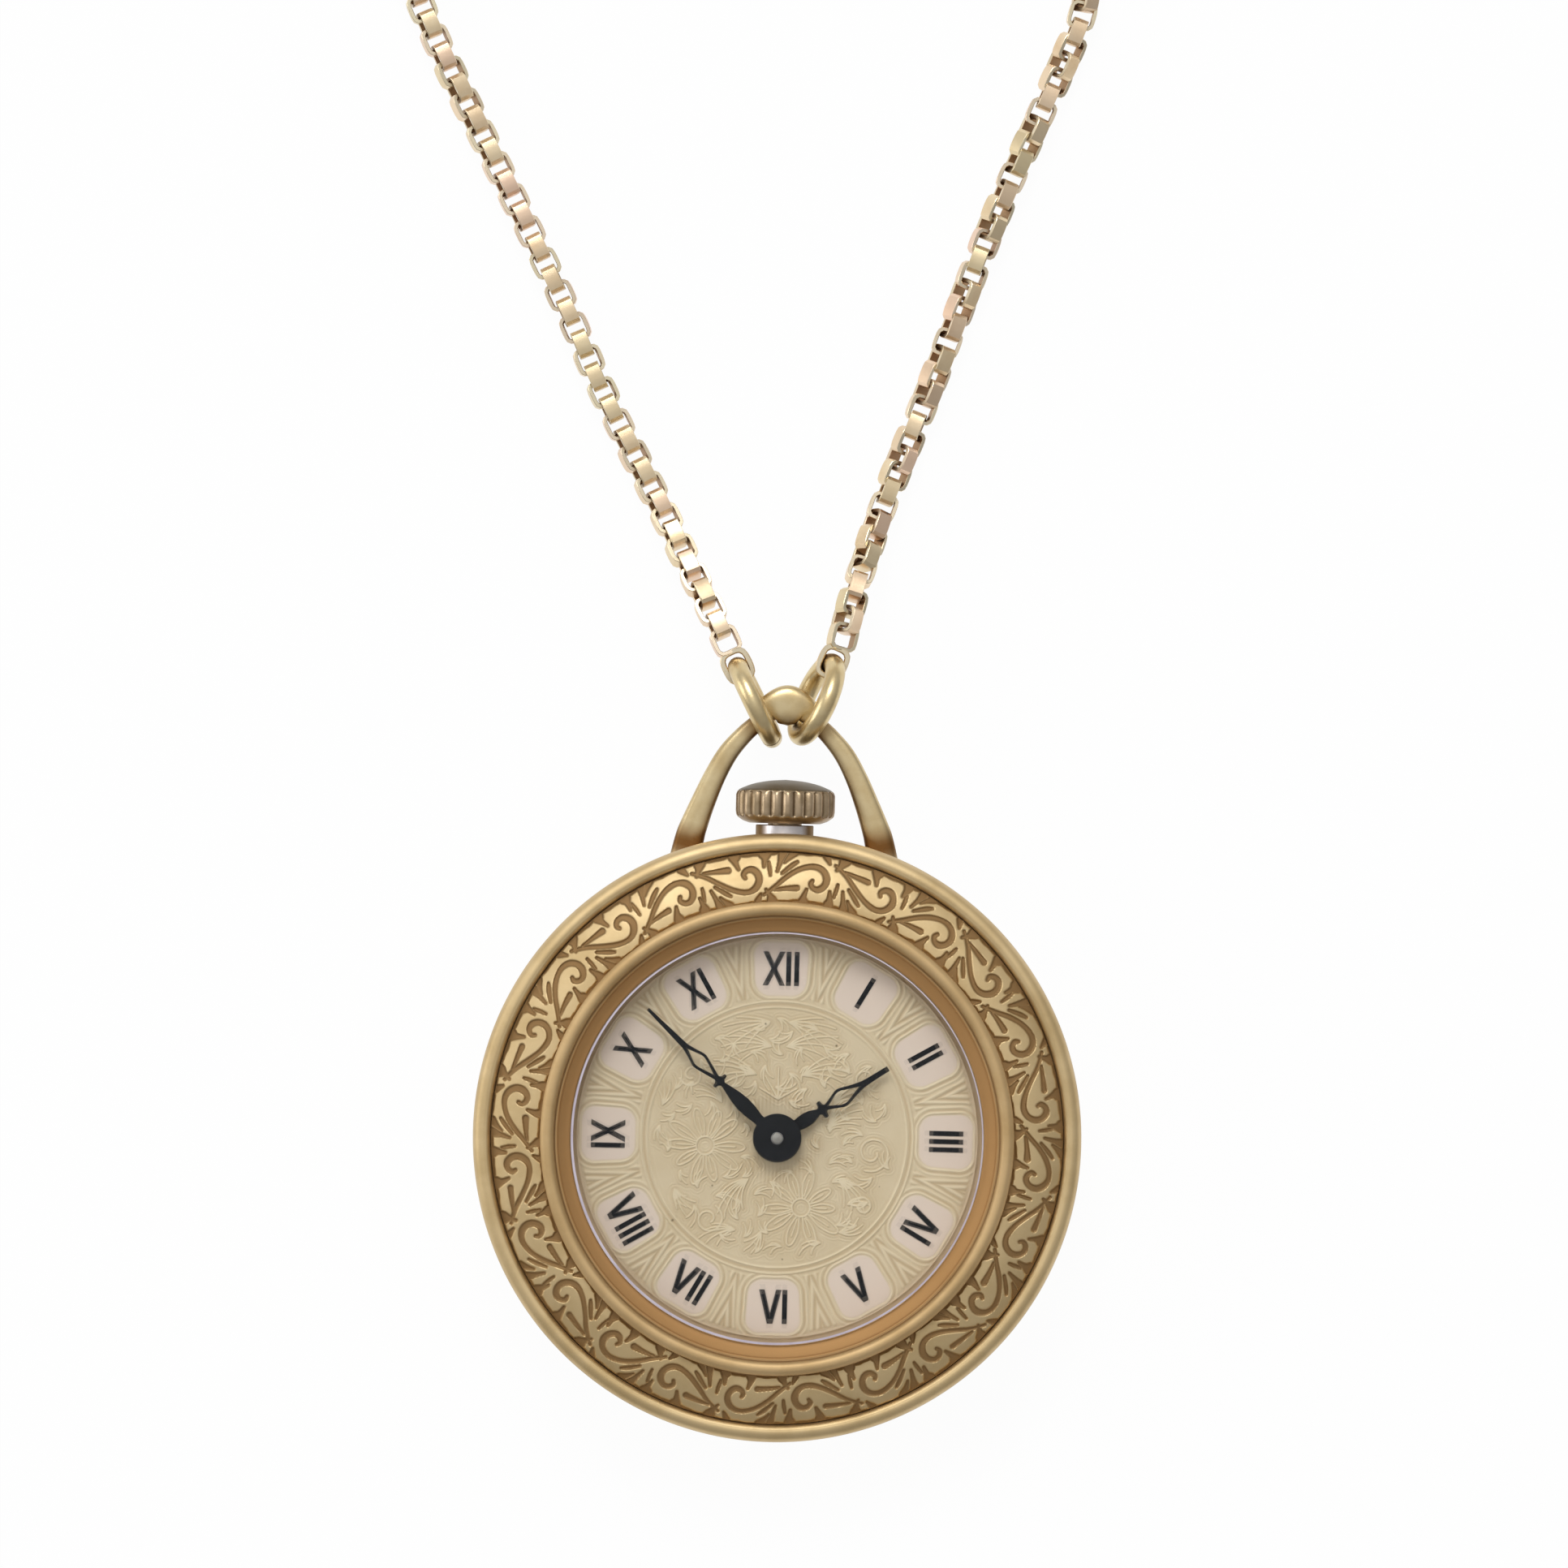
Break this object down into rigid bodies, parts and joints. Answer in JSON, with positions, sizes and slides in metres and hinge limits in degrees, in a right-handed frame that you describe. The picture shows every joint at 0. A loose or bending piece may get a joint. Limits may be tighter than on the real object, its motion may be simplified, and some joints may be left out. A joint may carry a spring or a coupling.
{
  "type": "pendant watch",
  "caption": "Small open-face pendant watch with an engraved bezel, numeral dial, leaf hands, ribbed crown, A-shaped bow and a box-link neck chain with a spring-ring clasp.",
  "frame": {"origin": "centre of the flat of the case back, on the surface that the watch lies on", "axes": "+Z out through the dial and the crystal, +Y towards XII, the crown and the bow, +X towards III"},
  "size_m": [0.037, 0.1097, 0.008],
  "materials": {
    "case_gold": "polished rolled gold",
    "bow_gold": "polished rolled gold",
    "crown_gold": "worn rolled gold",
    "tube_silver": "polished",
    "crystal": "clear polished acrylic",
    "dial_cream": "embossed, aged cream",
    "hand_black": "gloss black",
    "chain_gold": "polished rose-toned rolled gold",
    "movement_nickel": "nickelled brass, fine grained",
    "movement_brass": "satin gilt",
    "steel": "polished steel",
    "ruby": "polished synthetic ruby"
  },
  "bodies": {
    "watch": {"case_middle": "case_gold", "case_back": "case_gold", "bezel": "case_gold", "crystal": "crystal", "bow": "bow_gold", "pendant_tube": "tube_silver", "movement_holder": "movement_brass", "case_clamps": "steel", "movement_screws": "steel", "main_plate": "movement_nickel", "barrel_bridge": "movement_nickel", "train_bridge": "movement_nickel", "balance_cock": "movement_nickel", "jewels": "ruby", "pallet_cock": "movement_nickel", "hairspring": "steel", "click_spring": "steel", "dial": "dial_cream"},
    "minute": {"minute_hand": "hand_black", "cannon_pinion": "steel"},
    "hour": {"hour_hand": "hand_black", "hour_wheel": "movement_brass"},
    "minute_wheel": {"minute_wheel": "movement_brass"},
    "setting_wheel": {"setting_wheel": "steel"},
    "stem": {"winding_stem": "steel"},
    "sliding_pinion": {"sliding_pinion": "steel"},
    "setting_lever": {"setting_lever": "steel"},
    "yoke": {"yoke": "steel"},
    "crown": {"crown": "crown_gold"},
    "winding_pinion": {"winding_pinion": "steel"},
    "crown_wheel": {"crown_wheel": "steel"},
    "ratchet": {"ratchet_wheel": "steel", "barrel_arbor": "steel"},
    "click": {"click": "steel"},
    "fourth": {"fourth_wheel": "movement_brass", "fourth_pinion": "steel"},
    "third": {"third_wheel": "movement_brass", "third_pinion": "steel"},
    "centre": {"centre_wheel": "movement_brass", "centre_pinion": "steel"},
    "barrel": {"barrel": "movement_brass", "barrel_cover": "movement_brass", "mainspring": "steel"},
    "escape": {"escape_wheel": "steel", "escape_pinion": "steel"},
    "lever": {"pallet_fork": "steel", "pallet_stones": "ruby"},
    "balance": {"balance_wheel": "movement_brass", "balance_staff": "steel"},
    "regulator": {"regulator": "steel"},
    "chain": {"jump_rings": "bow_gold", "end_links": "chain_gold", "chain_left": "chain_gold", "chain_right": "chain_gold", "coil_left": "chain_gold", "coil_right": "chain_gold", "clasp_ring": "chain_gold", "clasp_tag": "chain_gold", "clasp_links": "chain_gold"},
    "bolt": {"clasp_bolt": "chain_gold"}
  },
  "joints": [
    {"name": "minute_hand_turn", "type": "hinge", "parent": "watch", "child": "minute", "pos_m": [0, 0, 0.00532], "axis": [0, 0, 1], "continuous": true},
    {"name": "hour_hand_turn", "type": "hinge", "parent": "watch", "child": "hour", "pos_m": [0, 0, 0.00502], "axis": [0, 0, 1], "continuous": true},
    {"name": "minute_wheel_turn", "type": "hinge", "parent": "watch", "child": "minute_wheel", "pos_m": [0, 0.002, 0.0038], "axis": [0, 0, 1], "continuous": true},
    {"name": "setting_wheel_turn", "type": "hinge", "parent": "watch", "child": "setting_wheel", "pos_m": [0, 0.0042, 0.0038], "axis": [0, 0, 1], "continuous": true},
    {"name": "crown_pull", "type": "slide", "parent": "watch", "child": "stem", "axis": [0, 1, 0], "range_m": [0, 0.0006]},
    {"name": "sliding_pinion_slide", "type": "slide", "parent": "watch", "child": "sliding_pinion", "axis": [0, 1, 0], "range_m": [-0.0006, 0]},
    {"name": "setting_lever_turn", "type": "hinge", "parent": "watch", "child": "setting_lever", "pos_m": [0.00189, 0.0088, 0.0034], "axis": [0, 0, 1], "range_deg": [-18.5, 0]},
    {"name": "yoke_turn", "type": "hinge", "parent": "watch", "child": "yoke", "pos_m": [-0.0022, 0.0071, 0.0038], "axis": [0, 0, 1], "range_deg": [-16, 0]},
    {"name": "crown_turn", "type": "hinge", "parent": "stem", "child": "crown", "pos_m": [0, 0.0165, 0.0029], "axis": [0, 1, 0], "continuous": true},
    {"name": "winding_pinion_turn", "type": "hinge", "parent": "watch", "child": "winding_pinion", "pos_m": [0, 0.0068, 0.0029], "axis": [0, 1, 0], "continuous": true},
    {"name": "crown_wheel_turn", "type": "hinge", "parent": "watch", "child": "crown_wheel", "pos_m": [0, 0.0049, 0.0014], "axis": [0, 0, 1], "continuous": true},
    {"name": "ratchet_turn", "type": "hinge", "parent": "watch", "child": "ratchet", "pos_m": [0.004, 0.00231, 0.0014], "axis": [0, 0, 1], "continuous": true},
    {"name": "click_lift", "type": "hinge", "parent": "watch", "child": "click", "pos_m": [0.00576, -0.001, 0.0014], "axis": [0, 0, 1], "range_deg": [0, 8], "stiffness_Nm_per_rad": 0.0005},
    {"name": "train_turn", "type": "hinge", "parent": "watch", "child": "fourth", "pos_m": [-0.00176, -0.00473, 0.0028], "axis": [0, 0, 1], "continuous": true},
    {"name": "third_wheel_turn", "type": "hinge", "parent": "watch", "child": "third", "pos_m": [0.00059, -0.00337, 0.0025], "axis": [0, 0, 1], "continuous": true},
    {"name": "centre_wheel_turn", "type": "hinge", "parent": "watch", "child": "centre", "pos_m": [0, 0, 0.0031], "axis": [0, 0, 1], "continuous": true},
    {"name": "barrel_turn", "type": "hinge", "parent": "watch", "child": "barrel", "pos_m": [0.004, 0.00231, 0.0025], "axis": [0, 0, 1], "continuous": true},
    {"name": "escape_wheel_turn", "type": "hinge", "parent": "watch", "child": "escape", "pos_m": [-0.00399, -0.00413, 0.0032], "axis": [0, 0, 1], "continuous": true},
    {"name": "lever_rock", "type": "hinge", "parent": "watch", "child": "lever", "pos_m": [-0.00498, -0.00242, 0.0032], "axis": [0, 0, 1], "range_deg": [-5, 5]},
    {"name": "balance_swing", "type": "hinge", "parent": "watch", "child": "balance", "pos_m": [-0.00518, -0.00013, 0.0027], "axis": [0, 0, 1], "range_deg": [-270, 270]},
    {"name": "regulator_turn", "type": "hinge", "parent": "watch", "child": "regulator", "pos_m": [-0.00518, -0.00013, 0.0015], "axis": [0, 0, 1], "range_deg": [-15, 15]},
    {"name": "chain_swing", "type": "hinge", "parent": "watch", "child": "chain", "pos_m": [0, 0.0207, 0.0029], "axis": [1, 0, 0], "range_deg": [0, 40]},
    {"name": "clasp_open", "type": "hinge", "parent": "chain", "child": "bolt", "pos_m": [-0.00425, 0.07611, 0.00075], "axis": [0, 0, 1], "range_deg": [0, 38], "stiffness_Nm_per_rad": 0.002}
  ],
  "couplings": [
    {"joint": "hour_hand_turn", "follows": "minute_hand_turn", "ratio": 0.083333},
    {"joint": "minute_wheel_turn", "follows": "minute_hand_turn", "ratio": -0.33333},
    {"joint": "setting_wheel_turn", "follows": "minute_hand_turn", "ratio": 0.71429},
    {"joint": "sliding_pinion_slide", "follows": "crown_pull", "ratio": -1},
    {"joint": "setting_lever_turn", "follows": "crown_pull", "rad_per_m": -529},
    {"joint": "yoke_turn", "follows": "crown_pull", "rad_per_m": -455},
    {"joint": "winding_pinion_turn", "follows": "crown_turn", "ratio": 1},
    {"joint": "crown_wheel_turn", "follows": "crown_turn", "ratio": 0.5},
    {"joint": "ratchet_turn", "follows": "crown_turn", "ratio": -0.33333},
    {"joint": "third_wheel_turn", "follows": "train_turn", "ratio": -0.13333},
    {"joint": "centre_wheel_turn", "follows": "train_turn", "ratio": 0.016667},
    {"joint": "barrel_turn", "follows": "train_turn", "ratio": -0.0027778},
    {"joint": "escape_wheel_turn", "follows": "train_turn", "ratio": -10}
  ]
}
